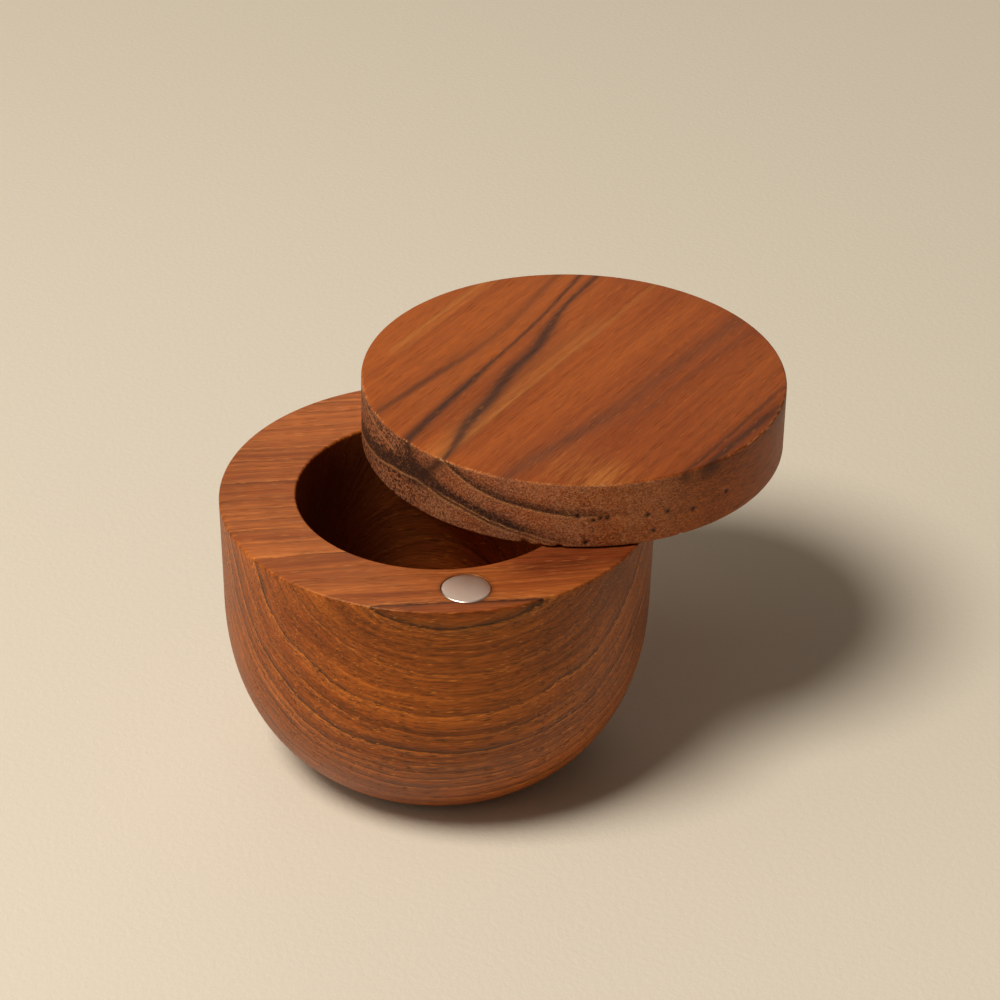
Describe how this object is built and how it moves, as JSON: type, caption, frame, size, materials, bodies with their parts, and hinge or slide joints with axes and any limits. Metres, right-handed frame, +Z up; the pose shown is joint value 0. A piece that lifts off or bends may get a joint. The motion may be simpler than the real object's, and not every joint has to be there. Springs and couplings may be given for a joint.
{
  "type": "round wooden salt and spice box",
  "caption": "Turned wooden salt and spice box: a round bowl with a straight-sided cavity and a thick disc lid that swivels sideways on a hidden pin and is held shut by magnets.",
  "frame": {"origin": "centre of the flat base, on the bowl's turning axis, at the surface it stands on", "axes": "+Z up along the bowl's turning axis; -Y from the axis towards the rim magnet, the side that opens towards the user; +Y towards the pivot pin; +X to the user's right"},
  "size_m": [0.1212, 0.1076, 0.0761],
  "materials": {
    "bowl_wood": "satin oiled acacia",
    "lid_wood": "satin oiled acacia",
    "magnet_nickel": "satin nickel plate",
    "pivot_steel": "ground steel"
  },
  "bodies": {
    "bowl_body": {"bowl": "bowl_wood", "rim_magnet": "magnet_nickel", "pivot_pin": "pivot_steel", "pivot_washer": "pivot_steel"},
    "lid_body": {"lid": "lid_wood", "lid_magnet": "magnet_nickel"}
  },
  "joints": [
    {"name": "lid_swivel", "type": "hinge", "parent": "bowl_body", "child": "lid_body", "pos_m": [0, 0.0367, 0.061], "axis": [0, 0, 1], "range_deg": [-59.3, 120.7]}
  ]
}
